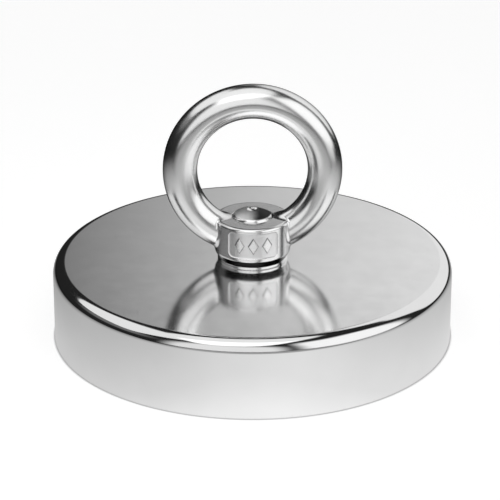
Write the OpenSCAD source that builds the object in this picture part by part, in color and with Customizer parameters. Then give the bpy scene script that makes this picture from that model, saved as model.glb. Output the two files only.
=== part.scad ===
// Pot magnet for magnet fishing: a steel cup with a ring magnet round a steel centre pole,
// a countersunk bolt up through the middle, and a cast eye nut that takes the rope.
// The working face rests on z = 0 and the eye stands up along +Z. The eye's hole runs
// along Y, and the marked side of its collar faces -Y. Lengths are in millimetres.

/* [Pot] */
// Outside diameter of the steel cup
pot_d = 90; // [86:1:110]
// Thickness of the pot, from the working face to the flat top
pot_t = 18; // [17:0.5:20]
// Rounding between the flat top and the side wall
pot_edge_r = 2.8; // [1:0.1:4]
// Thickness of the cup's side wall
cup_wall = 6; // [4:0.5:8]
// Depth of the cavity that holds the magnet
cavity_depth = 10; // [9:0.5:11]
// Diameter of the clearance hole for the bolt
bolt_hole_d = 11; // [10.4:0.1:11.4]

/* [Magnet and centre pole] */
// Outside diameter of the centre pole
pole_d = 27; // [25:1:32]
// Diameter of the spigot that locates the pole in the cup
spigot_d = 18; // [16:1:22]
// Height of that spigot
spigot_h = 3; // [2:0.5:4]
// Epoxy gap between the magnet and the cup
outer_gap = 1; // [0.5:0.1:2]
// Epoxy gap between the magnet and the pole
inner_gap = 1.5; // [0.5:0.1:2.5]
// Depth of the magnet's face behind the working face
magnet_recess = 0.3; // [0.1:0.1:0.6]
// Depth of the epoxy's face behind the working face
potting_recess = 0.5; // [0.3:0.1:0.9]
// Thickness of the adhesive that holds the magnet to the cup
bond_t = 0.2; // [0.1:0.1:0.3]

/* [Countersunk bolt] */
// Diameter of the plain shank that stands for the M10 thread
thread_d = 9; // [8.6:0.1:9.2]
// Diameter of the countersunk head
head_d = 20; // [18:0.5:21]
// Depth of the head's face behind the working face
head_recess = 0.6; // [0.2:0.1:1]
// Height of the cylindrical land round the head
head_land = 0.5; // [0.3:0.1:1]
// Room round the head in the pole's countersink
head_room = 0.3; // [0.1:0.1:0.5]
// Width across the flats of the hexagon socket
socket_af = 6.1; // [5:0.1:7]
// Depth of the hexagon socket
socket_depth = 4.6; // [3:0.1:5]
// Height of the bolt's domed end above the pot
bolt_end_h = 11.8; // [11.2:0.1:12.4]
// Radius of the dome on the bolt's end
dome_r = 8; // [6.5:0.5:12]
// Rounding between that dome and the shank
dome_edge_r = 1.2; // [0.6:0.1:2]

/* [Lock washer] */
// Outside diameter of the split washer
washer_d = 15.7; // [14:0.1:16]
// Diameter of its hole
washer_hole_d = 10.2; // [10.1:0.1:11]
// Thickness of the washer, flattened
washer_t = 0.76; // [0.7:0.01:1.2]
// Width of the split
split_w = 0.4; // [0.2:0.1:1]
// Place of the split, in degrees from the front towards +X
split_at = 52; // [0:1:359]
// Lean of the split from upright, in degrees
split_lean = 35; // [0:5:45]

/* [Eye nut] */
// Radius of the eye's centre line
eye_r = 16.15; // [15.6:0.05:17]
// Thickness of the eye's round section
eye_wire_d = 7.7; // [7:0.1:8.4]
// Height of the eye's centre above the pot
eye_h = 21.25; // [20.8:0.05:21.8]
// Diameter of the collar
collar_d = 17; // [16.5:0.1:18.5]
// Height of the collar's flat top above the pot
collar_top = 10.1; // [9.6:0.1:10.4]
// Diameter of the collar's underside
collar_foot_d = 15.4; // [14:0.1:16]
// Height above the pot at which the collar reaches its full diameter
collar_shoulder = 2.3; // [1.8:0.05:2.8]
// Rounding of the collar's upper edge
collar_edge_r = 0.75; // [0.2:0.05:0.8]
// Chamfer at the upper mouth of the threaded bore
mouth_chamfer = 0.2; // [0.1:0.1:0.4]

/* [Marked panel] */
// Width of the sunk panel across the front of the collar
panel_w = 10.9; // [8:0.1:12]
// Height of the panel
panel_h = 5.9; // [4:0.1:6]
// Height of the panel's middle above the pot
panel_mid = 6.05; // [5.6:0.05:6.2]
// Radius of the panel's corners
panel_corner_r = 1; // [0.4:0.1:1.8]
// Depth of the panel
panel_depth = 0.3; // [0.1:0.05:0.5]
// Width of each raised lozenge
lozenge_w = 2.3; // [1.2:0.1:2.6]
// Height of each raised lozenge
lozenge_h = 3.8; // [2:0.1:3.9]
// Angle between neighbouring lozenges, in degrees
lozenge_step = 22; // [18:1:24]

/* [Hidden] */
$fn = 96;
// Gap between faces that turn on each other
running_gap = 0.02;
// Radial clearance between the bolt and the nut's bore
thread_clearance = 0.05;
// Overshoot that keeps cuts clear of the faces they open
over = 1;
pot_r = pot_d / 2;
cavity_r = pot_r - cup_wall;
pole_r = pole_d / 2;
bolt_hole_r = bolt_hole_d / 2;
spigot_r = spigot_d / 2;
spigot_top = cavity_depth + spigot_h;
magnet_r_in = pole_r + inner_gap;
magnet_r_out = cavity_r - outer_gap;
magnet_top = cavity_depth - bond_t;
thread_r = thread_d / 2;
head_r = head_d / 2;
mouth_r = head_r + head_room;
// The 45 degree cone on which the head sits has radius + height = seat_sum
seat_sum = head_r + head_recess + head_land;
bolt_end_z = pot_t + bolt_end_h;
dome_centre_z = bolt_end_z - dome_r;
dome_edge_z = dome_centre_z + sqrt(pow(dome_r - dome_edge_r, 2) - pow(thread_r - dome_edge_r, 2));
// Radius at which the dome meets its rounded edge
dome_join_r = dome_r * (thread_r - dome_edge_r) / (dome_r - dome_edge_r);
washer_z = pot_t + running_gap;
nut_z = washer_z + washer_t + running_gap;
collar_r = collar_d / 2;
collar_z = pot_t + collar_top;
bore_r = thread_r + thread_clearance;
lozenge_rise = panel_depth * 0.8;

// A ring of rectangular section about the Z axis.
module ring(r_in, r_out, z_low, z_high) {
    rotate_extrude()
        translate([r_in, z_low])
            square([r_out - r_in, z_high - z_low]);
}

// A disc whose upper edge is rounded.
module rounded_disc(r, z_low, z_high, edge) {
    rotate_extrude()
        union() {
            translate([0, z_low])
                square([r, z_high - edge - z_low]);
            translate([0, z_low])
                square([r - edge, z_high - z_low]);
            translate([r - edge, z_high - edge])
                circle(edge);
        }
}

// A rounded cup, stepped inside for the magnet, the pole's spigot and the bolt.
module pot_cup() {
    color("#c3c5c7")
        difference() {
            rounded_disc(pot_r, 0, pot_t, pot_edge_r);
            translate([0, 0, -over])
                cylinder(r = cavity_r, h = cavity_depth + over);
            translate([0, 0, cavity_depth - over])
                cylinder(r = spigot_r, h = spigot_h + over);
            translate([0, 0, cavity_depth])
                cylinder(r = bolt_hole_r, h = pot_t);
        }
}

module ring_magnet() {
    color("#a9adb3")
        ring(magnet_r_in, magnet_r_out, magnet_recess, magnet_top);
}

// The steel core that carries the flux down the middle and seats the bolt's head.
module centre_pole() {
    color("#bfc2c5")
        rotate_extrude()
            polygon([
                [mouth_r, 0],
                [pole_r, 0],
                [pole_r, cavity_depth],
                [spigot_r, cavity_depth],
                [spigot_r, spigot_top],
                [bolt_hole_r, spigot_top],
                [bolt_hole_r, seat_sum - bolt_hole_r],
                [mouth_r, seat_sum - mouth_r]
            ]);
}

module outer_potting_ring() {
    color("#1b1b1d")
        ring(magnet_r_out, cavity_r, potting_recess, cavity_depth);
}

module inner_potting_ring() {
    color("#1b1b1d")
        ring(pole_r, magnet_r_in, potting_recess, cavity_depth);
}

module magnet_bond_layer() {
    color("#8a6a2c")
        ring(magnet_r_in, magnet_r_out, magnet_top, cavity_depth);
}

// Half outline of the bolt: countersunk head, plain shank and domed end.
module bolt_outline() {
    polygon([
        [0, head_recess],
        [head_r, head_recess],
        [head_r, head_recess + head_land],
        [thread_r, seat_sum - thread_r],
        [thread_r, dome_edge_z],
        [0, dome_edge_z]
    ]);
    translate([thread_r - dome_edge_r, dome_edge_z])
        circle(dome_edge_r);
    intersection() {
        translate([0, dome_centre_z])
            circle(dome_r);
        translate([0, dome_edge_z - over])
            square([dome_join_r, dome_r]);
    }
}

module countersunk_bolt() {
    color("#b4b6b8")
        difference() {
            rotate_extrude()
                bolt_outline();
            translate([0, 0, head_recess - over])
                cylinder(d = socket_af / cos(30), h = socket_depth + over, $fn = 6);
        }
}

// A split spring washer, drawn flattened under the tightened nut.
module lock_washer() {
    color("#d0d2d3")
        difference() {
            ring(washer_hole_d / 2, washer_d / 2, washer_z, washer_z + washer_t);
            rotate([0, 0, split_at - 90])
                translate([washer_d / 2, 0, washer_z + washer_t / 2])
                    rotate([split_lean, 0, 0])
                        cube([washer_d / 2, split_w, 6 * washer_t], center = true);
        }
}

// The collar: chamfered below, straight at the sides and rounded above.
module collar() {
    rounded_disc(collar_r, pot_t + collar_shoulder, collar_z, collar_edge_r);
    rotate_extrude()
        polygon([
            [0, nut_z],
            [collar_foot_d / 2, nut_z],
            [collar_r, pot_t + collar_shoulder],
            [0, pot_t + collar_shoulder]
        ]);
}

module eye() {
    translate([0, 0, pot_t + eye_h])
        rotate([90, 0, 0])
            rotate_extrude()
                translate([eye_r, 0])
                    circle(d = eye_wire_d);
}

module threaded_bore() {
    translate([0, 0, nut_z - over])
        cylinder(r = bore_r, h = collar_z - nut_z + 2 * over);
    translate([0, 0, collar_z - mouth_chamfer])
        cylinder(r1 = bore_r, r2 = bore_r + 2 * mouth_chamfer, h = 2 * mouth_chamfer);
}

// The outline of the panel, as seen from the front.
module panel_outline() {
    inner_w = panel_w - 2 * panel_corner_r;
    inner_h = panel_h - 2 * panel_corner_r;
    square([panel_w, inner_h], center = true);
    square([inner_w, panel_h], center = true);
    for (x = [-0.5, 0.5], y = [-0.5, 0.5])
        translate([x * inner_w, y * inner_h])
            circle(panel_corner_r);
}

// The sunk panel is what an outline takes out of the collar's skin.
module panel_cut() {
    intersection() {
        ring(collar_r - panel_depth, collar_r + over, pot_t, collar_z);
        translate([0, 0, pot_t + panel_mid])
            rotate([90, 0, 0])
                linear_extrude(collar_r + 2 * over)
                    panel_outline();
    }
}

// A row of three plain lozenges stands up from the panel's floor.
module lozenges() {
    for (i = [-1:1])
        rotate([0, 0, i * lozenge_step])
            intersection() {
                cylinder(r = collar_r - panel_depth + lozenge_rise, h = collar_z);
                translate([0, 0, pot_t + panel_mid])
                    rotate([90, 0, 0])
                        linear_extrude(collar_r + over)
                            polygon([
                                [-lozenge_w / 2, 0],
                                [0, -lozenge_h / 2],
                                [lozenge_w / 2, 0],
                                [0, lozenge_h / 2]
                            ]);
            }
}

module eye_nut() {
    color("#cfd1d2")
        difference() {
            union() {
                collar();
                eye();
            }
            threaded_bore();
            difference() {
                panel_cut();
                lozenges();
            }
        }
}

pot_cup();
ring_magnet();
centre_pole();
outer_potting_ring();
inner_potting_ring();
magnet_bond_layer();
countersunk_bolt();
lock_washer();
eye_nut();
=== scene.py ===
import itertools
import math

import bmesh
import bpy
import numpy as np
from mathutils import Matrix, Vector


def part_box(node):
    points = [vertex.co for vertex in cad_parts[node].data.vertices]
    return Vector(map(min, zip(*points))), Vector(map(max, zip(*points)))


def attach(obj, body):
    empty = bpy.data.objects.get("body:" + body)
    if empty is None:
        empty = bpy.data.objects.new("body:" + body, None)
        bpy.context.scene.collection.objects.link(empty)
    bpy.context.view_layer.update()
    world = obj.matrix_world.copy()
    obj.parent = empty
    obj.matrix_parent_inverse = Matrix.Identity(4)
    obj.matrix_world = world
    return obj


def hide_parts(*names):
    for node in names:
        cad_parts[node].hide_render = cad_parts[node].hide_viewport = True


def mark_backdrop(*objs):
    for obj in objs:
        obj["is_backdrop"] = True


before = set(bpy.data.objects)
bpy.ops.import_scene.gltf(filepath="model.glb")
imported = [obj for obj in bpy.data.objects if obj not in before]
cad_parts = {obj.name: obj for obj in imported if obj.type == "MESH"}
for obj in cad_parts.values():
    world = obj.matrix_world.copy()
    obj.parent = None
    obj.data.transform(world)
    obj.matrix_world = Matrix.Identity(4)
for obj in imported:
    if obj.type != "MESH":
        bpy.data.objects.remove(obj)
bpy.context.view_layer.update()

# Shapes are worked out in millimetres and turned into metres as they become meshes. The frame
# is the CAD model's: working face on z = 0, eye up along +Z, marked side of the collar facing -Y.
MM = 0.001


def corners_mm(node):
    """Lowest and highest corner of a CAD node, in millimetres."""
    low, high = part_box(node)
    return np.array(low) / MM, np.array(high) / MM


# ---------------------------------------------------------------- sizes from the frame
_, CUP_HIGH = corners_mm("pot_cup")
MAGNET_LOW, MAGNET_HIGH = corners_mm("ring_magnet")
_, POLE_HIGH = corners_mm("centre_pole")
OUTER_LOW, OUTER_HIGH = corners_mm("outer_potting_ring")
INNER_LOW, INNER_HIGH = corners_mm("inner_potting_ring")
BOLT_LOW, BOLT_HIGH = corners_mm("countersunk_bolt")
WASHER_LOW, WASHER_HIGH = corners_mm("lock_washer")
NUT_LOW, NUT_HIGH = corners_mm("eye_nut")

POT_R = CUP_HIGH[0]
POT_TOP = CUP_HIGH[2]
CAVITY_R = OUTER_HIGH[0]
CAVITY_TOP = OUTER_HIGH[2]
MAGNET_R = MAGNET_HIGH[0]
POLE_R = POLE_HIGH[0]
MAGNET_HOLE_R = INNER_HIGH[0]
SPIGOT_TOP = POLE_HIGH[2]
HEAD_R = BOLT_HIGH[0]
HEAD_FACE = BOLT_LOW[2]
BOLT_END = BOLT_HIGH[2]
WASHER_R = WASHER_HIGH[0]
EYE_OUTER_R = NUT_HIGH[0]
EYE_Z = NUT_HIGH[2] - EYE_OUTER_R
COLLAR_R = NUT_HIGH[1]
NUT_BASE = NUT_LOW[2]

# ---------------------------------------------------------------- sizes the boxes don't give
POT_EDGE_R = 2.8
SPIGOT_R = 9.0
BOLT_HOLE_R = 5.5
HEAD_ROOM = 0.3
HEAD_LAND = 0.5
SHANK_R = 4.5
DOME_R = 8.0
DOME_EDGE_R = 1.2
CENTRE_MARK_R = 1.25
CENTRE_MARK_SLOPE = math.radians(36)
SOCKET_APOTHEM = 3.05
SOCKET_DEPTH = 4.6
SOCKET_POINT = 0.9
SOCKET_MOUTH = 0.25
WASHER_HOLE_R = 5.1
SPLIT_WIDTH = 0.4
SPLIT_ANGLE = math.radians(-38)
SPLIT_LEAN = math.radians(35)
EYE_WIRE_R = 3.85
EYE_R = EYE_OUTER_R - EYE_WIRE_R
COLLAR_TOP = POT_TOP + 10.1
COLLAR_SHOULDER = POT_TOP + 2.3
COLLAR_FOOT_R = 7.7
PANEL_MID = POT_TOP + 6.05
PANEL_HALF = (5.45, 2.95)
PANEL_CORNER_R = 1.0
PANEL_DEPTH = 0.3
LOZENGE_HALF = (1.15, 1.9)
LOZENGE_STEP = math.radians(22)
LOZENGE_RISE = 0.24
COLLAR_EDGE_R = 0.75
NUT_EDGE_R = 0.12
EYE_FILLET_R = 0.55
BORE_EDGE_R = 0.06
THREAD_PITCH = 1.5
THREAD_CREST_R = 4.95
THREAD_ROOT_R = 4.08
THREAD_BELOW_TOP = 8.0
THREAD_ROW_STEP = 0.075
NUT_THREAD_CREST_R = THREAD_CREST_R + 0.1
NUT_THREAD_ROOT_R = SHANK_R + 0.05

TURN_SEGMENTS = 288
BOLT_SEGMENTS = 192
NUT_CELL = 0.34
CAMERA_AZIMUTH = math.radians(-1.3)


# ---------------------------------------------------------------- turned parts
def outline(corners, arc_step=math.radians(5), closed=True):
    """Rows of a turned part's half section: (radius, height, normal before, normal after).

    corners are (radius, height, rounding) anticlockwise, with the metal on the left. A
    rounding of zero leaves a sharp corner, whose row has two normals."""
    rows = []
    points = [np.array(c[:2], float) for c in corners]
    count = len(corners)
    for i, corner in enumerate(corners):
        here = points[i]
        ahead = points[(i + 1) % count] - here
        behind = here - points[i - 1]
        if not closed and i in (0, count - 1):
            along = ahead if i == 0 else behind
            along = along / np.hypot(*along)
            normal = np.array([along[1], -along[0]])
            rows.append((here, normal, normal))
            continue
        ahead, behind = ahead / np.hypot(*ahead), behind / np.hypot(*behind)
        before = np.array([behind[1], -behind[0]])
        after = np.array([ahead[1], -ahead[0]])
        rounding = corner[2]
        if rounding == 0:
            rows.append((here, before, after))
            continue
        turn = math.atan2(behind[0] * ahead[1] - behind[1] * ahead[0], float(behind @ ahead))
        centre = here - behind * rounding * math.tan(abs(turn) / 2)
        side = math.copysign(1, turn)
        centre = centre - side * before * rounding
        steps = max(2, math.ceil(abs(turn) / arc_step))
        for k in range(steps + 1):
            a = turn * k / steps
            normal = np.array([
                before[0] * math.cos(a) - before[1] * math.sin(a),
                before[0] * math.sin(a) + before[1] * math.cos(a),
            ])
            rows.append((centre + side * normal * rounding, normal, normal))
    return [(p[0], p[1], before, after) for p, before, after in rows]


def add_object(name, data):
    made = bpy.data.objects.new(name, data)
    bpy.context.scene.collection.objects.link(made)
    return made


def new_piece(name, points, faces, corner_normals):
    """A mesh piece from millimetre points, with a normal for each face corner."""
    mesh = bpy.data.meshes.new(name)
    mesh.from_pydata((np.asarray(points) * MM).tolist(), [], faces)
    mesh.polygons.foreach_set("use_smooth", [True] * len(mesh.polygons))
    mesh.update()
    mesh.normals_split_custom_set([tuple(n) for n in corner_normals])
    return add_object(name, mesh)


def turned(name, rows, closed=True, segments=TURN_SEGMENTS, shaped=None, flat=()):
    """Spins an outline about Z. shaped(radius, height, row, angles) can vary a row's radius.

    flat lists the spans, by the row they start at, that are made of flat facets. Where the
    outline starts or ends on the axis, the row shrinks to one point."""
    angles = np.arange(segments) * 2 * math.pi / segments
    circle = np.stack([np.cos(angles), np.sin(angles)], 1)
    points, ids = [], []
    for i, (radius, height, _, _) in enumerate(rows):
        if radius < 1e-9:
            ids.append([len(points)] * segments)
            points.append((0, 0, height))
            continue
        radii = np.full(segments, float(radius))
        if shaped:
            radii = shaped(radius, height, i, angles)
        ids.append(list(range(len(points), len(points) + segments)))
        points.extend(np.column_stack([circle * radii[:, None], np.full(segments, height)]))
    points = np.array(points)

    faces, normals = [], []
    spans = len(rows) if closed else len(rows) - 1
    for i in range(spans):
        j = (i + 1) % len(rows)
        low, high = rows[i][3], rows[j][2]
        for k in range(segments):
            m = (k + 1) % segments
            ring = [(ids[i][k], k, low), (ids[i][m], m, low), (ids[j][m], m, high), (ids[j][k], k, high)]
            corners = [ring[0]]
            for c in ring[1:]:
                if c[0] != corners[-1][0] and c[0] != corners[0][0]:
                    corners.append(c)
            faces.append([c[0] for c in corners])
            if i in flat:
                a, b, c = (points[x[0]] for x in corners[:3])
                facet = np.cross(b - a, c - a)
                facet = facet / np.linalg.norm(facet)
                normals.extend([facet] * len(corners))
            else:
                for _, turn, n in corners:
                    normals.append((n[0] * circle[turn][0], n[0] * circle[turn][1], n[1]))
    return new_piece(name, points, faces, normals)


def cup():
    """The steel cup: drawn outside with a rounded top edge, turned inside."""
    return turned("cup_shell", outline([
        (CAVITY_R, 0, 0.15),
        (POT_R, 0, 0.35),
        (POT_R, POT_TOP, POT_EDGE_R),
        (BOLT_HOLE_R, POT_TOP, 0.2),
        (BOLT_HOLE_R, SPIGOT_TOP, 0),
        (SPIGOT_R, SPIGOT_TOP, 0),
        (SPIGOT_R, CAVITY_TOP, 0.1),
        (CAVITY_R, CAVITY_TOP, 0),
    ]))


def magnet():
    return turned("magnet_ring", outline([
        (MAGNET_HOLE_R, MAGNET_LOW[2], 0.25),
        (MAGNET_R, MAGNET_LOW[2], 0.25),
        (MAGNET_R, MAGNET_HIGH[2], 0),
        (MAGNET_HOLE_R, MAGNET_HIGH[2], 0),
    ]))


def pole():
    """The centre pole, with the countersink that seats the bolt's head."""
    mouth_r = HEAD_R + HEAD_ROOM
    seat_sum = HEAD_R + HEAD_FACE + HEAD_LAND
    return turned("pole_core", outline([
        (mouth_r, 0, 0.12),
        (POLE_R, 0, 0.15),
        (POLE_R, CAVITY_TOP, 0),
        (SPIGOT_R, CAVITY_TOP, 0),
        (SPIGOT_R, SPIGOT_TOP, 0),
        (BOLT_HOLE_R, SPIGOT_TOP, 0),
        (BOLT_HOLE_R, seat_sum - BOLT_HOLE_R, 0),
        (mouth_r, seat_sum - mouth_r, 0),
    ]))


def epoxy_ring(name, r_in, r_out, face, sag):
    """Cast epoxy: its face sinks a little between the walls that it wets."""
    steps = 10
    span = r_out - r_in
    rows = []
    for k in range(steps + 1):
        share = k / steps
        dip = sag * 4 * share * (1 - share)
        slope = sag * 4 * (1 - 2 * share) / span
        normal = np.array([slope, -1]) / math.hypot(slope, 1)
        rows.append((r_in + span * share, face + dip, normal, normal))
    rows[0] = (*rows[0][:2], np.array([-1, 0]), rows[0][3])
    rows[-1] = (*rows[-1][:3], np.array([1, 0]))
    rows.append((r_out, CAVITY_TOP, np.array([1, 0]), np.array([0, 1])))
    rows.append((r_in, CAVITY_TOP, np.array([0, 1]), np.array([-1, 0])))
    return turned(name, rows)


# ---------------------------------------------------------------- the bolt
def ridge(height, angles, crest, root):
    """Radius of a right-hand thread at a height, for each angle."""
    turn = (height / THREAD_PITCH - angles / (2 * math.pi)) % 1.0
    from_crest = np.minimum(turn, 1 - turn) * THREAD_PITCH
    flank = (from_crest - THREAD_PITCH / 16) * math.sqrt(3)
    return np.clip(crest - flank, root, crest)


def smooth_step(low, high, value):
    """Smooth change from 0 to 1 as value goes from low to high."""
    t = np.clip((value - low) / (high - low), 0, 1)
    return t * t * (3 - 2 * t)


def socket_rows(down):
    """Rows of the hexagon socket, from the drilled point in its floor out to its mouth."""
    floor_z = HEAD_FACE + SOCKET_DEPTH
    return [
        (0, floor_z + SOCKET_POINT, down, down),
        (SOCKET_APOTHEM, floor_z, down, down),
        (SOCKET_APOTHEM, HEAD_FACE + SOCKET_MOUTH, down, down),
        (SOCKET_APOTHEM + SOCKET_MOUTH, HEAD_FACE, down, down),
    ]


def end_rows(edge_r, edge_z, dome_z, edge_steps=14, dome_steps=15):
    """Rows of the bolt's end: its rounded edge, its dome and the mark in the middle."""
    rows = []
    join = math.atan2(edge_r, math.sqrt((DOME_R - DOME_EDGE_R) ** 2 - edge_r ** 2))
    for k in range(1, edge_steps + 1):
        a = (math.pi / 2 - join) * k / edge_steps
        n = np.array([math.cos(a), math.sin(a)])
        rows.append((edge_r + DOME_EDGE_R * n[0], edge_z + DOME_EDGE_R * n[1], n, n))
    mark_edge = math.asin(CENTRE_MARK_R / DOME_R)
    for k in range(1, dome_steps + 1):
        a = join + (mark_edge - join) * k / dome_steps
        n = np.array([math.sin(a), math.cos(a)])
        rows.append((DOME_R * n[0], dome_z + DOME_R * n[1], n, n))
    return rows + centre_mark(dome_z + DOME_R * math.cos(mark_edge))


def bolt():
    """Countersunk bolt with a hexagon socket, a rolled thread and a domed end."""
    seat_sum = HEAD_R + HEAD_FACE + HEAD_LAND
    dome_z = BOLT_END - DOME_R
    edge_r = SHANK_R - DOME_EDGE_R
    edge_z = dome_z + math.sqrt((DOME_R - DOME_EDGE_R) ** 2 - edge_r ** 2)
    thread_low, thread_high = POT_TOP - THREAD_BELOW_TOP, edge_z - 0.1
    run_in, run_out = 1.2, 0.35
    first_row = thread_low - 1.4
    down, out = np.array([0, -1]), np.array([1, 0])

    rows = socket_rows(down)
    socket_count = len(rows)
    hexagon_rows = range(1, socket_count)
    flat_spans = range(socket_count)
    rows += outline([
        (SOCKET_APOTHEM + 1.6, HEAD_FACE, 0),
        (HEAD_R, HEAD_FACE, 0.12),
        (HEAD_R, HEAD_FACE + HEAD_LAND, 0.1),
        (SHANK_R, seat_sum - SHANK_R, 1.0),
        (SHANK_R, first_row - 0.1, 0),
    ], closed=False)
    head_count = len(rows)
    for height in np.arange(first_row, thread_high, THREAD_ROW_STEP):
        rows.append((SHANK_R, height, out, out))
    thread_rows = range(head_count, len(rows))
    rows.append((SHANK_R, edge_z, out, out))
    rows += end_rows(edge_r, edge_z, dome_z)

    def shaped(radius, height, row, angles):
        if row in hexagon_rows:
            return radius / np.cos((angles + math.pi / 6) % (math.pi / 3) - math.pi / 6)
        if row in thread_rows:
            start = smooth_step(thread_low - run_in, thread_low, height)
            end = smooth_step(thread_high, thread_high - run_out, height)
            cut = np.minimum(ridge(height, angles, THREAD_CREST_R, THREAD_ROOT_R),
                             SHANK_R + np.maximum(edge_z - height, 0))
            return radius + (cut - radius) * start * end
        return np.full(len(angles), float(radius))

    piece = turned("bolt_body", rows, closed=False, segments=BOLT_SEGMENTS, shaped=shaped, flat=flat_spans)
    smooth_thread(piece, first_row, thread_high)
    return piece


def centre_mark(rim):
    """Rows of the small hollow that turning leaves in the middle of the bolt's end."""
    radius = CENTRE_MARK_R / math.sin(CENTRE_MARK_SLOPE)
    rows = []
    for k in range(10):
        a = CENTRE_MARK_SLOPE * (1 - k / 9)
        n = np.array([-math.sin(a), math.cos(a)])
        rows.append((-radius * n[0], rim - radius * (n[1] - math.cos(CENTRE_MARK_SLOPE)), n, n))
    return rows


def smooth_thread(piece, low, high):
    """Gives the threaded stretch the normals of its own shape."""
    mesh = piece.data
    corners = np.zeros(len(mesh.loops) * 3, np.float32)
    mesh.corner_normals.foreach_get("vector", corners)
    corners = corners.reshape(-1, 3)
    owners = np.zeros(len(mesh.loops), np.int32)
    mesh.loops.foreach_get("vertex_index", owners)
    places = np.zeros(len(mesh.vertices) * 3, np.float32)
    mesh.vertices.foreach_get("co", places)
    places = places.reshape(-1, 3) / MM
    areas = np.zeros((len(mesh.vertices), 3))
    for face in mesh.polygons:
        for v in face.vertices:
            areas[v] += np.array(face.normal) * face.area
    areas /= np.linalg.norm(areas, axis=1, keepdims=True)
    outside = np.hypot(places[:, 0], places[:, 1]) > THREAD_ROOT_R - 0.05
    threaded = outside & (places[:, 2] > low) & (places[:, 2] < high)
    use = threaded[owners]
    corners[use] = areas[owners[use]]
    mesh.normals_split_custom_set([tuple(n) for n in corners])


# ---------------------------------------------------------------- the lock washer
def washer():
    """A flattened spring washer: a rounded section swept round, with a leaning split."""
    middle = (WASHER_LOW[2] + WASHER_HIGH[2]) / 2
    rows = outline([
        (WASHER_HOLE_R, WASHER_LOW[2], 0.2),
        (WASHER_R, WASHER_LOW[2], 0.28),
        (WASHER_R, WASHER_HIGH[2], 0.28),
        (WASHER_HOLE_R, WASHER_HIGH[2], 0.2),
    ], arc_step=math.radians(12))
    mean_r = (WASHER_HOLE_R + WASHER_R) / 2
    half_gap = SPLIT_WIDTH / 2 / mean_r / math.cos(SPLIT_LEAN)
    sweep = np.linspace(half_gap, 2 * math.pi - half_gap, TURN_SEGMENTS) + SPLIT_ANGLE
    points, angles = [], []
    for start in sweep:
        for radius, height, _, _ in rows:
            a = start - math.tan(SPLIT_LEAN) * (height - middle) / mean_r
            points.append((radius * math.cos(a), radius * math.sin(a), height))
            angles.append(a)
    count = len(rows)
    faces, normals = [], []
    for s in range(len(sweep) - 1):
        for i in range(count):
            j = (i + 1) % count
            ring = [(s, i, rows[i][3]), (s + 1, i, rows[i][3]), (s + 1, j, rows[j][2]), (s, j, rows[j][2])]
            faces.append([c[0] * count + c[1] for c in ring])
            for station, row, n in ring:
                a = angles[station * count + row]
                normals.append((n[0] * math.cos(a), n[0] * math.sin(a), n[1]))
    first = list(range(count))
    last = [(len(sweep) - 1) * count + i for i in reversed(range(count))]
    for cap in (first, last):
        a, b, c = (np.array(points[cap[k]]) for k in (0, count // 3, 2 * count // 3))
        facet = np.cross(b - a, c - a)
        facet = facet / np.linalg.norm(facet)
        faces.append(cap)
        normals.extend([facet] * count)
    return new_piece("split_washer", points, faces, normals)


# ---------------------------------------------------------------- the cast eye nut
def round_and(a, b, radius):
    """Where both distances are inside, with the edge between them rounded."""
    u, v = np.maximum(radius + a, 0), np.maximum(radius + b, 0)
    return np.minimum(-radius, np.maximum(a, b)) + np.hypot(u, v)


def round_or(a, b, radius):
    """Where either distance is inside, with a fillet between them."""
    u, v = np.maximum(radius - a, 0), np.maximum(radius - b, 0)
    return np.maximum(radius, np.minimum(a, b)) - np.hypot(u, v)


def value_noise(p, size, seed):
    """Smooth noise from -1 to 1 with lumps of one size."""
    q = p / size
    base = np.floor(q).astype(np.int64)
    t = q - base
    t = t * t * (3 - 2 * t)
    total = np.zeros(len(p))
    for corner in itertools.product((0, 1), repeat=3):
        c = base + corner
        mixed = (c[:, 0] * 73856093) ^ (c[:, 1] * 19349663) ^ (c[:, 2] * 83492791) ^ (seed * 2654435761)
        mixed = (mixed ^ (mixed >> 13)) * 1274126177 & 0x7FFFFFFF
        value = (mixed % 65536) / 32768.0 - 1
        weight = np.prod(np.where(np.array(corner), t, 1 - t), axis=1)
        total += value * weight
    return total


def panel_share(p):
    """1 on the sunk panel's floor, 0 outside it."""
    across = np.abs(p[:, 0]) - PANEL_HALF[0] + PANEL_CORNER_R
    up = np.abs(p[:, 2] - PANEL_MID) - PANEL_HALF[1] + PANEL_CORNER_R
    edge = np.hypot(np.maximum(across, 0), np.maximum(up, 0)) + np.minimum(np.maximum(across, up), 0)
    edge -= PANEL_CORNER_R
    return smooth_step(0.12, -0.16, edge) * (p[:, 1] < 0)


def lozenge_share(p):
    """1 on top of the raised lozenges, 0 beside them."""
    share = np.zeros(len(p))
    for i in (-1, 0, 1):
        a = i * LOZENGE_STEP
        across = p[:, 0] * math.cos(a) + p[:, 1] * math.sin(a)
        up = p[:, 2] - PANEL_MID
        edge = np.abs(across) / LOZENGE_HALF[0] + np.abs(up) / LOZENGE_HALF[1] - 1
        edge *= LOZENGE_HALF[0] * math.cos(math.atan2(*LOZENGE_HALF))
        share = np.maximum(share, smooth_step(0.1, -0.16, edge) * (p[:, 1] < 0))
    return share


def collar_radius(p):
    """Radius of the collar's side, with its panel, lozenges and cast grain."""
    panel = panel_share(p)
    marks = lozenge_share(p)
    grain = 0.014 * value_noise(p, 0.34, 1) + 0.010 * value_noise(p, 0.17, 2)
    return COLLAR_R - panel * (PANEL_DEPTH - marks * LOZENGE_RISE) + panel * (1 - 0.7 * marks) * grain


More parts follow.
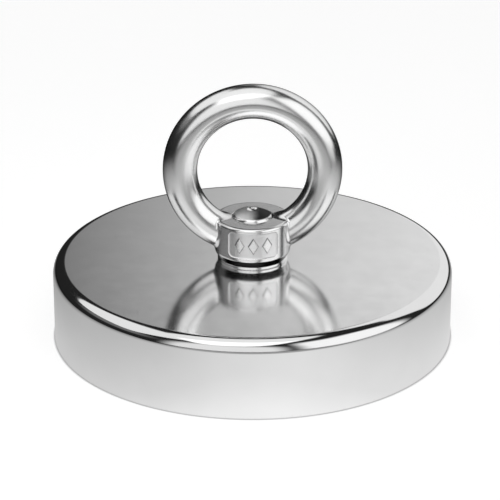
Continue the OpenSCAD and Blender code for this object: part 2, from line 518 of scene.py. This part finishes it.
def bore_radius(p):
    """Radius of the threaded bore, which opens out at its foot and a little at its top."""
    z = p[:, 2]
    hole = ridge(z, np.arctan2(p[:, 1], p[:, 0]), NUT_THREAD_CREST_R, NUT_THREAD_ROOT_R)
    hole = np.where(z < COLLAR_TOP - 0.7, hole, NUT_THREAD_ROOT_R)
    mouth = SHANK_R + 0.14 + (z - COLLAR_TOP) * 0.8
    entry = THREAD_CREST_R + 0.25 - (z - NUT_BASE)
    return np.maximum(np.maximum(hole, mouth), entry)


def nut_field(p):
    """Distance-like field of the eye nut: negative inside the metal."""
    rho = np.hypot(p[:, 0], p[:, 1])
    z = p[:, 2]
    eye = np.hypot(np.hypot(p[:, 0], z - EYE_Z) - EYE_R, p[:, 1]) - EYE_WIRE_R
    run, rise = COLLAR_R - COLLAR_FOOT_R, COLLAR_SHOULDER - NUT_BASE
    chamfer = ((rho - COLLAR_R) * rise - (z - COLLAR_SHOULDER) * run) / math.hypot(run, rise)
    body = round_and(rho - collar_radius(p), z - COLLAR_TOP, COLLAR_EDGE_R)
    body = round_and(body, chamfer, NUT_EDGE_R)
    body = round_and(body, NUT_BASE - z, NUT_EDGE_R)
    solid = round_or(eye, body, EYE_FILLET_R)
    above = np.maximum(z - COLLAR_TOP, 0)
    return round_and(solid, bore_radius(p) - rho - 5 * above, BORE_EDGE_R)


def slope(field, p, step=0.004):
    """Gradient of a field by central differences."""
    columns = []
    for axis in np.eye(3) * step:
        columns.append((field(p + axis) - field(p - axis)) / (2 * step))
    return np.stack(columns, 1)


def settle(field, p, rounds):
    """Moves points onto the field's zero level."""
    for _ in range(rounds):
        g = slope(field, p)
        size = np.maximum((g * g).sum(1), 0.25)
        shift = g * (field(p) / size)[:, None]
        length = np.linalg.norm(shift, axis=1, keepdims=True)
        p = p - shift * np.minimum(1, 0.15 / np.maximum(length, 1e-9))
    return p


def surface_net(field, low, high, step):
    """Points and quads round the zero level of a field, one point to each crossed cell."""
    axes = [np.arange(a, b + step, step) for a, b in zip(low, high)]
    grid = np.stack(np.meshgrid(*axes, indexing="ij"), -1)
    shape = grid.shape[:3]
    inside = (field(grid.reshape(-1, 3)) < 0).reshape(shape)
    cells = tuple(n - 1 for n in shape)
    filled = np.zeros(cells, int)
    for i, j, k in itertools.product((0, 1), repeat=3):
        filled += inside[i:i + cells[0], j:j + cells[1], k:k + cells[2]]
    crossed = (filled > 0) & (filled < 8)
    index = np.full(cells, -1)
    index[crossed] = np.arange(crossed.sum())
    points = grid[:-1, :-1, :-1][crossed] + step / 2
    quads = []
    for axis in range(3):
        one, two = (axis + 1) % 3, (axis + 2) % 3
        turned_inside = np.moveaxis(inside, (axis, one, two), (0, 1, 2))
        turned_index = np.moveaxis(index, (axis, one, two), (0, 1, 2))
        before, after = turned_inside[:-1, 1:-1, 1:-1], turned_inside[1:, 1:-1, 1:-1]
        ring = [turned_index[:, :-1, :-1], turned_index[:, 1:, :-1],
                turned_index[:, 1:, 1:], turned_index[:, :-1, 1:]]
        for change, order in ((before & ~after, (0, 1, 2, 3)), (~before & after, (3, 2, 1, 0))):
            quads.append(np.stack([ring[k][change] for k in order], 1))
    return points, np.concatenate(quads)


def even_out(field, points, quads, rounds):
    """Spreads the points evenly over the surface."""
    edges = np.concatenate([quads[:, [0, 1]], quads[:, [1, 2]], quads[:, [2, 3]], quads[:, [3, 0]]])
    ends, others = np.concatenate([edges[:, 0], edges[:, 1]]), np.concatenate([edges[:, 1], edges[:, 0]])
    degree = np.bincount(ends, minlength=len(points))[:, None]
    for _ in range(rounds):
        mean = np.stack([np.bincount(ends, points[others, k], len(points)) for k in range(3)], 1) / degree
        points = settle(field, points * 0.3 + mean * 0.7, 2)
    return points


def finer(mesh, chosen):
    """Cuts the faces whose centre is chosen into quarters."""
    work = bmesh.new()
    work.from_mesh(mesh)
    centres = np.array([f.calc_center_median() for f in work.faces]) / MM
    picked = chosen(centres)
    edges = dict.fromkeys(e for f, use in zip(work.faces, picked) if use for e in f.edges)
    bmesh.ops.subdivide_edges(work, edges=list(edges), cuts=1, use_grid_fill=True)
    bmesh.ops.triangulate(work, faces=[f for f in work.faces if len(f.verts) > 4])
    work.to_mesh(mesh)
    work.free()


def near_collar(p):
    """The collar, its bore and its joins with the ring."""
    rho = np.hypot(p[:, 0], p[:, 1])
    return (rho < COLLAR_R + 1.6) & (p[:, 2] < COLLAR_TOP + 1.6)


def near_panel(p):
    """The front of the collar, with its panel and marks."""
    return ((p[:, 1] < -5) & (np.abs(p[:, 0]) < PANEL_HALF[0] + 0.5)
            & (np.abs(p[:, 2] - PANEL_MID) < PANEL_HALF[1] + 0.5)
            & (np.hypot(p[:, 0], p[:, 1]) > COLLAR_R - 1.2))


def near_rim(p):
    """The collar's rounded top edge."""
    rho = np.hypot(p[:, 0], p[:, 1])
    return (rho > COLLAR_R - 1) & (rho < COLLAR_R + 0.5) & (np.abs(p[:, 2] - COLLAR_TOP) < 0.8)


def mark_skin(mesh, places):
    """Stores, for the material, where the panel's skin and the painted shade round its marks lie."""
    on_skin = np.hypot(places[:, 0], places[:, 1]) > COLLAR_R - 0.6
    marks = lozenge_share(places)
    skin = panel_share(places) * (1 - 0.75 * marks) * on_skin
    # Painted shade along the sloping edges of the lozenges.
    mark_shade = 4 * marks * (1 - marks) * on_skin
    for name, values in (("cast_skin", skin), ("painted_mark_shade", mark_shade)):
        mesh.attributes.new(name, "FLOAT", "POINT").data.foreach_set("value", values.astype(np.float32))


def eye_nut():
    """The cast eye nut: a round ring grown into a collar, with its bore, panel and marks."""
    margin = 0.7
    points, quads = surface_net(nut_field, NUT_LOW - margin, NUT_HIGH + margin, NUT_CELL)
    points = settle(nut_field, points, 4)
    points = even_out(nut_field, points, quads, 3)
    mesh = bpy.data.meshes.new("eye_nut_casting")
    mesh.from_pydata((points * MM).tolist(), [], quads.tolist())
    for chosen in (near_collar, lambda p: near_panel(p) | near_rim(p)):
        finer(mesh, chosen)
        places = np.zeros(len(mesh.vertices) * 3)
        mesh.vertices.foreach_get("co", places)
        places = settle(nut_field, places.reshape(-1, 3) / MM, 4)
        mesh.vertices.foreach_set("co", (places * MM).ravel())
        mesh.update()
    mesh.polygons.foreach_set("use_smooth", [True] * len(mesh.polygons))
    normals = slope(nut_field, places, 0.02)
    normals /= np.linalg.norm(normals, axis=1, keepdims=True)
    mesh.normals_split_custom_set_from_vertices([tuple(n) for n in normals])
    mark_skin(mesh, places)
    return add_object("eye_nut_casting", mesh)


# ---------------------------------------------------------------- node helpers
class Tree:
    """Short calls for building a node tree."""

    def __init__(self, tree):
        self.tree = tree
        tree.nodes.clear()

    def node(self, kind, **settings):
        made = self.tree.nodes.new(kind)
        for key, value in settings.items():
            setattr(made, key, value)
        return made

    def link(self, value, socket):
        """Feeds a socket from another socket, or sets it to a constant."""
        if isinstance(value, bpy.types.NodeSocket):
            self.tree.links.new(value, socket)
        else:
            socket.default_value = value

    def math(self, operation, *values):
        made = self.node("ShaderNodeMath", operation=operation)
        for socket, value in zip(made.inputs, values):
            self.link(value, socket)
        return made.outputs[0]

    def times(self, first, *others):
        for other in others:
            first = self.math("MULTIPLY", first, other)
        return first

    def plus(self, first, *others):
        for other in others:
            first = self.math("ADD", first, other)
        return first

    def squares(self, x, y):
        return self.plus(self.times(x, x), self.times(y, y))

    def place(self):
        """A point's place on its piece, in metres."""
        return self.node("ShaderNodeTexCoord").outputs["Object"]

    def axes(self, vector):
        parts = self.node("ShaderNodeSeparateXYZ")
        self.link(vector, parts.inputs[0])
        return parts.outputs[:]

    def attribute(self, name):
        return self.node("ShaderNodeAttribute", attribute_name=name).outputs["Fac"]

    def bump(self, height):
        """A normal from a height in millimetres."""
        made = self.node("ShaderNodeBump")
        made.inputs["Distance"].default_value = MM
        self.link(height, made.inputs["Height"])
        return made.outputs[0]

    def step(self, value, start, end, low=0.0, high=1.0):
        """Smooth change from low to high as value goes from start to end."""
        made = self.node("ShaderNodeMapRange", interpolation_type="SMOOTHSTEP")
        self.link(value, made.inputs["Value"])
        self.link(start, made.inputs["From Min"])
        self.link(end, made.inputs["From Max"])
        self.link(low, made.inputs["To Min"])
        self.link(high, made.inputs["To Max"])
        return made.outputs["Result"]

    def blend(self, share, a, b):
        """a where share is 0, b where it is 1."""
        made = self.node("ShaderNodeMix", data_type="FLOAT")
        self.link(share, made.inputs[0])
        self.link(a, made.inputs[2])
        self.link(b, made.inputs[3])
        return made.outputs[0]

    def blend_colour(self, share, a, b):
        made = self.node("ShaderNodeMix", data_type="RGBA")
        self.link(share, made.inputs[0])
        self.link(a, made.inputs[6])
        self.link(b, made.inputs[7])
        return made.outputs[2]

    def reach(self, a, b, power):
        """Distance from the middle of a rounded panel, 1 at its edge."""
        total = self.plus(self.math("POWER", self.math("ABSOLUTE", a), power),
                          self.math("POWER", self.math("ABSOLUTE", b), power))
        return self.math("POWER", total, 1 / power)

    def card(self, distance, value, below, soft=0.05):
        """A panel's value inside its edge, and what is below it outside."""
        return self.blend(self.step(distance, 1 + soft, 1 - soft), below, value)

    def noise(self, place, scale, detail=2.0, roughness=0.5):
        made = self.node("ShaderNodeTexNoise")
        self.link(place, made.inputs["Vector"])
        made.inputs["Scale"].default_value = scale
        made.inputs["Detail"].default_value = detail
        made.inputs["Roughness"].default_value = roughness
        return made.outputs["Fac"]


def material(name):
    made = bpy.data.materials.new(name)
    made.use_nodes = True
    return made, Tree(made.node_tree)


def finish_material(t, shader):
    output = t.node("ShaderNodeOutputMaterial")
    t.link(shader.outputs[0], output.inputs["Surface"])


def grey(value):
    return value, value, value, 1.0


def scratches(t, place, scale, turn, width, shift):
    """Fine hairlines: thin contour lines of stretched noise."""
    mapping = t.node("ShaderNodeMapping")
    t.link(place, mapping.inputs["Vector"])
    mapping.inputs["Rotation"].default_value = (0.0, 0.0, turn)
    mapping.inputs["Location"].default_value = (shift, shift * 0.7, 0.0)
    mapping.inputs["Scale"].default_value = (1.0, 0.06, 0.06)
    level = t.noise(mapping.outputs[0], scale, 1.0)
    return t.step(t.math("ABSOLUTE", t.math("SUBTRACT", level, 0.5)), width, 0.0)


def hairlines(t, place):
    """Two sets of scratches that cross, in patches."""
    lines = t.math("MAXIMUM", scratches(t, place, 900.0, 0.5, 0.006, 3.1),
                   scratches(t, place, 700.0, -0.9, 0.005, 7.7))
    return t.times(lines, t.step(t.noise(place, 120.0, 2.0), 0.45, 0.65))


def metal(name, colour, roughness, ripple, grain, scratched=0.0, extra=None, edge=1.0):
    """A bright metal with slow tone changes, a micro texture and fine hairlines.

    ripple and grain are (height in millimetres, scale). scratched is how much rougher a
    hairline is, edge the tint at grazing angles, and extra adds what only this piece has."""
    made, t = material(name)
    place = t.place()
    shader = t.node("ShaderNodeBsdfPrincipled")
    shader.inputs["Metallic"].default_value = 1.0
    shader.inputs["Specular Tint"].default_value = grey(edge)

    light = tuple(min(1.0, c * 1.01) for c in colour[:3]) + (1.0,)
    dark = tuple(c * 0.985 for c in colour[:3]) + (1.0,)
    base = t.blend_colour(t.step(t.noise(place, 90.0, 3.0), 0.3, 0.7), dark, light)
    rough = t.step(t.noise(place, 260.0, 3.0), 0.25, 0.75, roughness * 0.9, roughness * 1.1)
    if scratched:
        rough = t.plus(rough, t.times(hairlines(t, place), scratched))
    height = t.plus(t.times(t.noise(place, ripple[1], 2.0), ripple[0]),
                    t.times(t.noise(place, grain[1], 3.0), grain[0]))
    if extra:
        base, rough, height = extra(t, place, base, rough, height)
    t.link(base, shader.inputs["Base Color"])
    t.link(rough, shader.inputs["Roughness"])
    t.link(t.bump(height), shader.inputs["Normal"])
    finish_material(t, shader)
    return made


def rubbed_edges(t, place, base, rough, height):
    """The cup's top is a little less polished than its side, and its lower rim is scuffed from use."""
    z = t.axes(place)[2]
    scuffs = t.step(t.noise(place, 2600.0, 4.0, 0.65), 0.5, 0.75)
    wear = t.times(t.step(z, 0.9 * MM, 0.05 * MM), scuffs)
    base = t.blend_colour(wear, base, (0.78, 0.775, 0.77, 1.0))
    rough = t.plus(rough, t.times(wear, 0.14))
    flat_top = t.step(z, (POT_TOP - 0.1) * MM, (POT_TOP - 0.01) * MM, 1.0, 1.75)
    return base, t.times(rough, flat_top), height


def undercut_shade_share(t, place):
    """Where painted shade darkens the groove: 1 in the front of the groove between the collar's foot and its
    shoulder, 0 elsewhere.
    """
    x, y, z = t.axes(place)
    low, high, fade = (NUT_BASE + 0.04) * MM, (COLLAR_SHOULDER - 0.06) * MM, 0.06 * MM
    side = t.math("GREATER_THAN", t.squares(x, y), ((COLLAR_FOOT_R - 0.3) * MM) ** 2)
    middle = t.step(t.math("ABSOLUTE", x), 7.3 * MM, 5.6 * MM)
    return t.times(t.step(z, low - fade, low), t.step(z, high + fade, high), side, middle)


def cast_skin(t, place, base, rough, height):
    """The sunk panel keeps the rougher skin of the casting, with painted shade along its marks' edges.

    The front of the undercut below is darkened with painted shade."""
    # Painted shade: the front of the groove under the collar is made nearly black.
    undercut_shade = t.blend_colour(t.noise(place, 1800.0, 3.0), grey(0.012), grey(0.05))
    base = t.blend_colour(undercut_shade_share(t, place), base, undercut_shade)
    skin = t.attribute("cast_skin")
    base = t.blend_colour(skin, base, grey(0.99))
    rough = t.blend(skin, rough, 0.42)
    # Painted shade darkens the lozenges' edges.
    base = t.blend_colour(t.times(t.attribute("painted_mark_shade"), 0.75), base, grey(0.1))
    pits = t.noise(place, 5200.0, 3.0, 0.6)
    return base, rough, t.plus(height, t.times(pits, skin, 0.02))


def cut_end(t, place, base, rough, height):
    """The bolt's end is matter than its thread, with painted shade darkening one side."""
    x, y, z = t.axes(place)
    end = t.step(z, (COLLAR_TOP - 0.5) * MM, COLLAR_TOP * MM)
    reach = t.squares(x, y)
    hollow = t.math("LESS_THAN", reach, (CENTRE_MARK_R * MM) ** 2)
    rim = t.times(t.step(reach, (3.95 * MM) ** 2, (4.2 * MM) ** 2), t.step(y, -0.2 * MM, -0.9 * MM))
    rough = t.blend(end, rough, t.blend(hollow, t.blend(rim, 0.45, 0.2), 0.2))
    base = t.blend_colour(end, base, grey(0.96))
    # Painted shade: one side of the end is made nearly black, except at its middle mark and front rim.
    ragged = t.plus(x, t.times(t.math("SUBTRACT", t.noise(place, 500.0), 0.5), 1.2 * MM))
    painted_side_shade = t.times(t.step(ragged, -1.2 * MM, 1.6 * MM), t.step(y, 2.0 * MM, 0.6 * MM))
    shade_allowed = t.math("SUBTRACT", 1.0, t.math("MAXIMUM", hollow, rim))
    return t.blend_colour(t.times(painted_side_shade, end, shade_allowed), base, grey(0.05)), rough, height


def epoxy():
    """Cast black epoxy with a soft sheen, fine dust and a few pinholes."""
    made, t = material("black_epoxy")
    place = t.place()
    shader = t.node("ShaderNodeBsdfPrincipled")
    dust = t.step(t.noise(place, 1500.0, 4.0), 0.5, 0.8)
    black, dusty = (0.012, 0.012, 0.013, 1.0), (0.045, 0.044, 0.042, 1.0)
    t.link(t.blend_colour(dust, black, dusty), shader.inputs["Base Color"])
    t.link(t.step(t.noise(place, 400.0, 3.0), 0.3, 0.7, 0.28, 0.48), shader.inputs["Roughness"])
    holes = t.node("ShaderNodeTexVoronoi")
    t.link(place, holes.inputs["Vector"])
    holes.inputs["Scale"].default_value = 420.0
    pinholes = t.step(holes.outputs["Distance"], 0.10, 0.22)
    height = t.plus(t.times(t.noise(place, 500.0, 3.0), 0.06), t.times(pinholes, 0.05))
    t.link(t.bump(height), shader.inputs["Normal"])
    finish_material(t, shader)
    return made


def adhesive():
    """Cured amber adhesive film, hidden inside the pot."""
    made, t = material("amber_adhesive")
    shader = t.node("ShaderNodeBsdfPrincipled")
    cloud = t.noise(t.place(), 300.0, 3.0)
    amber, pale_amber = (0.30, 0.19, 0.05, 1.0), (0.42, 0.28, 0.09, 1.0)
    t.link(t.blend_colour(cloud, amber, pale_amber), shader.inputs["Base Color"])
    t.link(t.step(cloud, 0.3, 0.7, 0.35, 0.5), shader.inputs["Roughness"])
    finish_material(t, shader)
    return made


# ---------------------------------------------------------------- studio
def around(t, x, y, height, azimuth, elevation, half, power):
    """Distance from the middle of a panel that stands round the horizon, 1 at its edge.

    azimuth, elevation and half, the panel's half width and half height, are in degrees."""
    c, s = math.cos(math.radians(azimuth)), math.sin(math.radians(azimuth))
    ahead = t.plus(t.times(x, s), t.times(y, c))
    aside = t.math("SUBTRACT", t.times(x, c), t.times(y, s))
    a = t.math("DIVIDE", t.math("ARCTAN2", aside, ahead), math.radians(half[0]))
    b = t.math("DIVIDE", t.math("SUBTRACT", height, math.radians(elevation)), math.radians(half[1]))
    return t.reach(a, b, power)


def overhead(t, x, y, z, middle, half, power):
    """Distance from the middle of a level panel one unit above, 1 at its edge."""
    safe = t.math("MAXIMUM", z, 0.02)
    above = t.math("DIVIDE", x, safe), t.math("DIVIDE", y, safe)
    a, b = (t.math("DIVIDE", t.math("SUBTRACT", above[k], middle[k]), half[k]) for k in (0, 1))
    return t.reach(a, b, power)


def low_glow(t, azimuth, height):
    """Soft spill from the round panel towards the middle, low down."""
    spill = t.times(t.step(azimuth, math.radians(-10), math.radians(6)),
                    t.step(azimuth, math.radians(60), math.radians(30)))
    band = t.times(t.step(height, math.radians(12), math.radians(17)),
                   t.step(height, math.radians(28.5), math.radians(25.5)))
    return t.times(spill, band)


def studio_light(t, direction):
    """Light from each direction in a dark studio with soft panels.

    Azimuth 0 is straight behind the pot. A faint panel stands at the left, a grey one in
    front, a bright one at the right, a round one behind, and one hangs high at the left."""
    x, y, signed_z = t.axes(direction)
    z = t.math("ABSOLUTE", signed_z)
    azimuth, height = t.math("ARCTAN2", x, y), t.math("ARCSINE", z)
    left = around(t, x, y, height, -92, 24, (27, 8), 3)
    front = around(t, x, y, height, -165, 10, (32.5, 36), 4)
    right = around(t, x, y, height, 120, 24, (32.5, 33.5), 4.5)
    behind = around(t, x, y, height, 38, 26.5, (33, 25.5), 3.2)
    light = t.card(left, 0.15, 0.016, 0.45)
    light = t.card(front, 0.82, light, 0.22)
    light = t.card(right, 1.02, light, 0.19)
    brighter = t.step(azimuth, math.radians(2), math.radians(8.5), 1.32, 1.0)
    upward = t.step(height, math.radians(21.5), math.radians(27.5), 1.0, brighter)
    light = t.card(behind, t.times(upward, 0.84), light)
    light = t.math("MAXIMUM", light, t.times(low_glow(t, azimuth, height), upward, 0.78))
    light = t.card(overhead(t, x, y, z, (-1.02, 0.35), (0.68, 0.78), 6), 0.84, light)
    return t.blend(t.step(signed_z, -0.3, -0.65), light, t.step(t.plus(x, y), -0.8, 0.5, 0.42, 0.95))


def studio_world():
    """White to the camera. In the metal it shows as the studio."""
    world = bpy.data.worlds.new("studio")
    bpy.context.scene.world = world
    world.use_nodes = True
    t = Tree(world.node_tree)
    turned_to_camera = t.node("ShaderNodeVectorRotate", rotation_type="Z_AXIS")
    t.link(t.node("ShaderNodeTexCoord").outputs["Generated"], turned_to_camera.inputs["Vector"])
    turned_to_camera.inputs["Angle"].default_value = -CAMERA_AZIMUTH
    light = studio_light(t, turned_to_camera.outputs[0])
    seen = t.node("ShaderNodeLightPath").outputs["Is Camera Ray"]
    background = t.node("ShaderNodeBackground")
    t.link(t.blend(seen, light, 1.0), background.inputs["Color"])
    output = t.node("ShaderNodeOutputWorld")
    t.link(background.outputs[0], output.inputs["Surface"])


def softbox():
    """The overhead softbox: dimmer at the back, cut to its shape by transparency."""
    height, half = 224.0 * MM, 320.0 * MM
    corners = ((-half, half), (half, half), (half, -half), (-half, -half))
    mesh = bpy.data.meshes.new("softbox")
    mesh.from_pydata([(x, y, height) for x, y in corners], [], [(0, 1, 2, 3)])
    made, t = material("softbox_cloth")
    x, y, _ = t.axes(t.place())
    leaning = t.math("SUBTRACT", x, t.times(y, 0.2))
    slanted = t.plus(y, t.times(t.math("MAXIMUM", x, 0.0), 0.22))
    a = t.math("DIVIDE", t.math("SUBTRACT", leaning, -0.0135), 0.0905)
    b = t.math("DIVIDE", t.math("SUBTRACT", slanted, -0.075), 0.156)
    unseen = t.math("SUBTRACT", 1.0, t.node("ShaderNodeLightPath").outputs["Is Camera Ray"])
    shape = t.times(t.card(t.reach(a, b, 3), 1.0, 0.0), unseen)
    cloth = t.node("ShaderNodeEmission")
    t.link(t.step(y, -0.05, -0.075, 0.86, 1.25), cloth.inputs["Color"])
    mixed = t.node("ShaderNodeMixShader")
    t.link(shape, mixed.inputs[0])
    t.link(t.node("ShaderNodeBsdfTransparent").outputs[0], mixed.inputs[1])
    t.link(cloth.outputs[0], mixed.inputs[2])
    finish_material(t, mixed)
    mesh.materials.append(made)
    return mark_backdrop(add_object("softbox", mesh))


def floor():
    """A pale floor with a hole under the pot, so that the working face can be looked at from below."""
    drop, segments = 0.03, 96
    radii = (POT_R - 1.0, POT_R + 5, 200.0, 2500.0)
    points, faces = [], []
    for r in radii:
        for k in range(segments):
            a = 2 * math.pi * k / segments
            points.append((r * math.cos(a) * MM, r * math.sin(a) * MM, -drop * MM))
    for i in range(len(radii) - 1):
        inner, outer = i * segments, (i + 1) * segments
        for k in range(segments):
            m = (k + 1) % segments
            faces.append([inner + k, outer + k, outer + m, inner + m])
    mesh = bpy.data.meshes.new("floor")
    mesh.from_pydata(points, [], faces)
    mesh.materials.append(floor_material())
    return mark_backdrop(add_object("floor", mesh))


def light_pool(t, x, y):
    """The pool of light round the pot, drawn out to the front and fading with distance."""
    shifted = t.plus(y, 0.025)
    behind = t.times(t.math("MAXIMUM", shifted, 0.0), 1.3)
    ahead = t.times(t.math("MINIMUM", shifted, 0.0), 0.6)
    away = t.math("SQRT", t.squares(t.times(x, 0.8), t.plus(behind, ahead)))
    ramp = t.node("ShaderNodeValToRGB")
    stops = (
        (0.0, 1.1), (0.05, 1.0), (0.066, 0.92), (0.085, 0.84), (0.115, 0.82), (0.15, 0.78), (0.2, 0.68),
        (0.25, 0.56), (0.31, 0.48), (0.39, 0.33), (0.55, 0.13), (0.7, 0.02), (1.0, 0.012),
    )
    while len(ramp.color_ramp.elements) < len(stops):
        ramp.color_ramp.elements.new(0.5)
    for element, (spot, value) in zip(ramp.color_ramp.elements, stops):
        element.position = spot
        element.color = grey(value)
    t.link(t.math("DIVIDE", away, 0.3), ramp.inputs[0])
    sides = t.times(t.step(t.math("ABSOLUTE", x), 0.015, 0.07, 1.0, 0.88), t.step(x, -0.07, 0.03, 0.79, 1.0))
    return t.times(ramp.outputs[0], sides, t.step(y, -0.098, -0.084, 0.4, 1.0))


def floor_glow(t, x, y, distance):
    """What the metal sees in the floor: the pool, and spills at the front and at the right."""
    reach = t.math("MAXIMUM", distance, 0.001)
    aim = t.math("SUBTRACT", t.times(y, -1.0), t.times(t.math("ABSOLUTE", x), 0.7))
    front = t.times(t.step(t.math("DIVIDE", aim, reach), -0.1, 0.6, 0.0, 0.36),
                    t.step(distance, 0.34, 0.22, 0.3, 1.0))
    right = t.times(t.step(t.math("DIVIDE", x, reach), 0.5, 0.75),
                    t.step(t.math("DIVIDE", y, reach), -0.05, -0.4),
                    t.step(distance, 0.14, 0.28), 0.6)
    return t.math("MAXIMUM", t.math("MAXIMUM", light_pool(t, x, y), front), right)


def floor_material():
    """White to the camera, with a thin contact shade. In the metal it shows as its glow."""
    made, t = material("pale_floor")
    made.cycles.emission_sampling = "NONE"
    x, y, _ = t.axes(t.place())
    distance = t.math("SQRT", t.squares(x, y))
    reflected = t.node("ShaderNodeEmission")
    t.link(floor_glow(t, x, y, distance), reflected.inputs["Color"])
    paper = t.node("ShaderNodeEmission")
    t.link(t.step(distance, POT_R * MM, (POT_R + 0.55) * MM, 0.2, 0.74), paper.inputs["Color"])
    shade = t.node("ShaderNodeBsdfDiffuse")
    shade.inputs["Color"].default_value = grey(0.5)
    lit = t.node("ShaderNodeAddShader")
    t.link(paper.outputs[0], lit.inputs[0])
    t.link(shade.outputs[0], lit.inputs[1])
    seen = t.node("ShaderNodeMixShader")
    t.link(t.node("ShaderNodeLightPath").outputs["Is Camera Ray"], seen.inputs[0])
    t.link(reflected.outputs[0], seen.inputs[1])
    t.link(lit.outputs[0], seen.inputs[2])
    under = t.node("ShaderNodeMixShader")
    t.link(t.node("ShaderNodeNewGeometry").outputs["Backfacing"], under.inputs[0])
    t.link(seen.outputs[0], under.inputs[1])
    t.link(t.node("ShaderNodeBsdfTransparent").outputs[0], under.inputs[2])
    finish_material(t, under)
    return made


def camera():
    """Looks down at the front of the pot, a little from the left."""
    azimuth, elevation = CAMERA_AZIMUTH, math.radians(23.47)
    distance = 0.5788
    right = Vector((math.cos(azimuth), math.sin(azimuth), 0))
    level = Vector((math.sin(azimuth), -math.cos(azimuth), 0))
    back = level * math.cos(elevation) + Vector((0, 0, math.sin(elevation)))
    target = right * -0.565 * MM + Vector((0, 0, 19.71 * MM))
    data = bpy.data.cameras.new("camera")
    data.lens, data.sensor_width = 184.8, 36.0
    data.clip_start, data.clip_end = 0.01, 20.0
    made = add_object("camera", data)
    made.location = target + back * distance
    made.rotation_euler = (-back).to_track_quat("-Z", "Y").to_euler()
    bpy.context.scene.camera = made


# ---------------------------------------------------------------- assembly
def stand_for(node, body, piece, finish):
    """Finishes a piece, stands it for its CAD node and hangs it on its body."""
    piece.data.materials.clear()
    piece.data.materials.append(finish)
    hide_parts(node)
    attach(piece, body)


def cup_nickel():
    return metal("cup_nickel_plate", grey(0.89), 0.075, ripple=(0.00004, 160.0), grain=(0.00001, 3500.0),
                 scratched=0.02, extra=rubbed_edges)


def magnet_nickel():
    return metal("magnet_nickel_plate", (0.66, 0.66, 0.67, 1.0), 0.34, ripple=(0.004, 300.0),
                 grain=(0.004, 2600.0), scratched=0.1)


def pole_nickel():
    return metal("pole_nickel_plate", grey(0.80), 0.27, ripple=(0.002, 300.0), grain=(0.001, 3500.0),
                 scratched=0.1)


def bolt_steel():
    return metal("bolt_stainless", grey(0.86), 0.22, ripple=(0.001, 400.0), grain=(0.0006, 4000.0),
                 scratched=0.05, extra=cut_end, edge=0.6)


def washer_steel():
    return metal("washer_steel", grey(0.95), 0.15, ripple=(0.001, 400.0), grain=(0.0006, 4000.0))


def eye_steel():
    return metal("eye_nut_stainless", grey(0.975), 0.21, ripple=(0.001, 260.0), grain=(0.0002, 4000.0),
                 scratched=0.03, extra=cast_skin, edge=0.3)


def build():
    """Every piece in its place, on its body and in its material."""
    black = epoxy()
    stand_for("pot_cup", "pot", cup(), cup_nickel())
    stand_for("ring_magnet", "pot", magnet(), magnet_nickel())
    stand_for("centre_pole", "pot", pole(), pole_nickel())
    stand_for("outer_potting_ring", "pot",
              epoxy_ring("outer_epoxy", MAGNET_R, CAVITY_R, OUTER_LOW[2], 0.12), black)
    stand_for("inner_potting_ring", "pot",
              epoxy_ring("inner_epoxy", POLE_R, MAGNET_HOLE_R, INNER_LOW[2], 0.15), black)
    stand_for("countersunk_bolt", "pot", bolt(), bolt_steel())
    stand_for("lock_washer", "washer", washer(), washer_steel())
    stand_for("eye_nut", "eye", eye_nut(), eye_steel())
    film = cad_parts["magnet_bond_layer"]
    film.data.materials.clear()
    film.data.materials.append(adhesive())


bpy.context.scene.view_settings.view_transform = "Standard"
bpy.context.scene.view_settings.look = "None"
camera()
studio_world()
softbox()
floor()
build()
